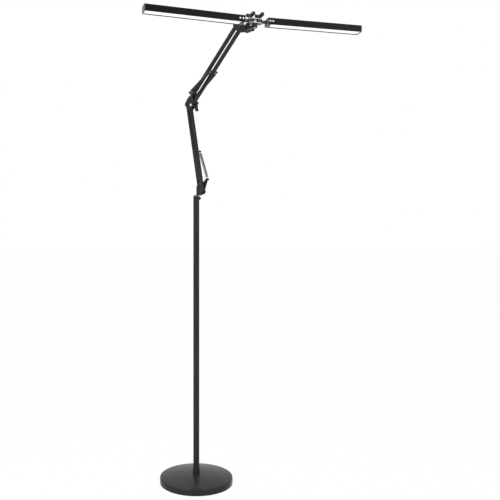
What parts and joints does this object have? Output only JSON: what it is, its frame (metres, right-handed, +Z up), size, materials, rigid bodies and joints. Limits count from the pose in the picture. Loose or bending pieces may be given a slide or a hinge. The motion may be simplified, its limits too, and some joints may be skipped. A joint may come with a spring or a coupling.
{
  "type": "floor lamp",
  "caption": "Black floor lamp with a weighted round base, slim pole, spring-balanced swing arm and folding LED light bars on a tilting, swivelling head.",
  "frame": {"origin": "centre of the round base, on the floor", "axes": "+Z up along the pole, +X the way the arm reaches forward, +Y along the arm's hinge pins"},
  "size_m": [0.6275, 0.6727, 1.6285],
  "materials": {
    "black_paint": "satin black powder coat with a fine orange-peel grain",
    "black_plastic": "moulded black plastic with a fine matt texture",
    "grey_plastic": "moulded dark grey plastic of the bars' end caps",
    "nickel": "bright nickel plate",
    "zinc_steel": "zinc-plated steel fasteners",
    "black_steel": "black oxide steel",
    "spring_steel": "blackened spring wire",
    "iron": "bare cast iron",
    "foot_pad": "black foam rubber",
    "black_aluminium": "fine black anodised extrusion",
    "opal": "opal white diffuser",
    "led_strip": "white solder mask with yellow phosphor chips"
  },
  "bodies": {
    "stand": {"base_pad": "foot_pad", "base_weight": "iron", "base_cover": "black_paint", "cord_gland": "black_plastic", "base_bolt": "zinc_steel", "pole_foot_insert": "zinc_steel", "pole_foot_collar": "black_paint", "pole_lower": "black_paint", "pole_middle": "black_paint", "pole_upper": "black_paint", "pole_couplers": "zinc_steel", "pole_top_bush": "black_plastic"},
    "clamp_screw": {"pole_thumbscrew": "black_plastic"},
    "arm_yoke": {"yoke_bracket": "black_paint", "yoke_spigot": "zinc_steel", "yoke_pivot_bolts": "black_steel", "yoke_pivot_nuts": "black_steel", "yoke_spring_pins": "black_steel", "lower_spring_near": "spring_steel", "lower_spring_far": "spring_steel"},
    "lower_front_link": {"lower_front_tube": "black_paint", "lower_spring_peg": "black_steel"},
    "lower_rear_link": {"lower_rear_tube": "black_paint"},
    "elbow": {"elbow_plate_near": "black_paint", "elbow_plate_far": "black_paint", "elbow_pivot_bolts": "black_steel", "elbow_pivot_nuts": "black_steel", "elbow_spring_pins": "black_steel", "elbow_clamp_bolt": "zinc_steel", "upper_spring_near": "spring_steel", "upper_spring_far": "spring_steel"},
    "elbow_knob": {"elbow_wing_knob": "black_plastic"},
    "upper_front_link": {"upper_front_tube": "black_paint", "upper_spring_peg": "black_steel"},
    "upper_rear_link": {"upper_rear_tube": "black_paint"},
    "head_bracket": {"head_plate_near": "black_paint", "head_plate_far": "black_paint", "head_pivot_bolts": "black_steel", "head_pivot_nuts": "black_steel", "tilt_bolt": "black_steel"},
    "tilt_knob": {"tilt_wing_knob": "black_plastic"},
    "knuckle": {"head_knuckle": "black_paint", "swivel_stud": "nickel"},
    "head_yoke": {"head_yoke_lower": "nickel", "head_yoke_upper": "nickel", "hinge_bolts": "nickel"},
    "left_bar": {"left_bar_housing": "black_aluminium", "left_bar_end_caps": "grey_plastic", "left_bar_diffuser": "opal", "left_bar_led_board": "led_strip", "left_bar_tongue": "black_steel", "left_bar_screws": "zinc_steel"},
    "right_bar": {"right_bar_housing": "black_aluminium", "right_bar_end_caps": "grey_plastic", "right_bar_diffuser": "opal", "right_bar_led_board": "led_strip", "right_bar_tongue": "black_steel", "right_bar_screws": "zinc_steel"},
    "left_knob": {"left_wing_knob": "black_plastic"},
    "right_knob": {"right_wing_knob": "black_plastic"}
  },
  "joints": [
    {"name": "pole_clamp", "type": "hinge", "parent": "stand", "child": "clamp_screw", "pos_m": [0, 0, 1.033], "axis": [0, 1, 0], "range_deg": [0, 360]},
    {"name": "arm_swivel", "type": "hinge", "parent": "stand", "child": "arm_yoke", "pos_m": [0, 0, 1.04], "axis": [0, 0, 1], "range_deg": [-180, 180]},
    {"name": "lower_arm", "type": "hinge", "parent": "arm_yoke", "child": "lower_front_link", "pos_m": [0.033, 0, 1.054], "axis": [0, 1, 0], "range_deg": [-7, 100], "deforming": ["lower_spring_near", "lower_spring_far"]},
    {"name": "lower_link", "type": "hinge", "parent": "arm_yoke", "child": "lower_rear_link", "pos_m": [0.01603, 0, 1.07097], "axis": [0, 1, 0], "range_deg": [-7, 100]},
    {"name": "elbow_level", "type": "hinge", "parent": "lower_front_link", "child": "elbow", "pos_m": [-0.02838, 0, 1.36398], "axis": [0, 1, 0], "range_deg": [-100, 7]},
    {"name": "elbow_lock", "type": "hinge", "parent": "elbow", "child": "elbow_knob", "pos_m": [-0.0201, 0, 1.37348], "axis": [0, 1, 0], "range_deg": [0, 360]},
    {"name": "upper_arm", "type": "hinge", "parent": "elbow", "child": "upper_front_link", "pos_m": [-0.01181, 0, 1.38297], "axis": [0, 1, 0], "range_deg": [-55, 55], "deforming": ["upper_spring_near", "upper_spring_far"]},
    {"name": "upper_link", "type": "hinge", "parent": "elbow", "child": "upper_rear_link", "pos_m": [-0.02878, 0, 1.39994], "axis": [0, 1, 0], "range_deg": [-55, 55]},
    {"name": "head_level", "type": "hinge", "parent": "upper_front_link", "child": "head_bracket", "pos_m": [0.22005, 0, 1.59768], "axis": [0, 1, 0], "range_deg": [-55, 55]},
    {"name": "tilt_lock", "type": "hinge", "parent": "head_bracket", "child": "tilt_knob", "pos_m": [0.23754, 0, 1.58699], "axis": [0, 1, 0], "range_deg": [0, 360]},
    {"name": "head_tilt", "type": "hinge", "parent": "head_bracket", "child": "knuckle", "pos_m": [0.23754, 0, 1.58699], "axis": [0, 1, 0], "range_deg": [-45, 60]},
    {"name": "head_swivel", "type": "hinge", "parent": "knuckle", "child": "head_yoke", "pos_m": [0.27954, 0, 1.60059], "axis": [0, 0, 1], "range_deg": [-20, 45]},
    {"name": "left_fold", "type": "hinge", "parent": "head_yoke", "child": "left_bar", "pos_m": [0.27191, -0.01349, 1.60059], "axis": [0, 0, -1], "range_deg": [-80, 20]},
    {"name": "right_fold", "type": "hinge", "parent": "head_yoke", "child": "right_bar", "pos_m": [0.28718, 0.01349, 1.60059], "axis": [0, 0, -1], "range_deg": [-20, 80]},
    {"name": "left_lock", "type": "hinge", "parent": "head_yoke", "child": "left_knob", "pos_m": [0.27191, -0.01349, 1.60059], "axis": [0, 0, 1], "range_deg": [0, 360]},
    {"name": "right_lock", "type": "hinge", "parent": "head_yoke", "child": "right_knob", "pos_m": [0.28718, 0.01349, 1.60059], "axis": [0, 0, 1], "range_deg": [0, 360]}
  ],
  "couplings": [
    {"joint": "lower_link", "follows": "lower_arm", "ratio": 1},
    {"joint": "elbow_level", "follows": "lower_arm", "ratio": -1},
    {"joint": "upper_link", "follows": "upper_arm", "ratio": 1},
    {"joint": "head_level", "follows": "upper_arm", "ratio": -1}
  ]
}
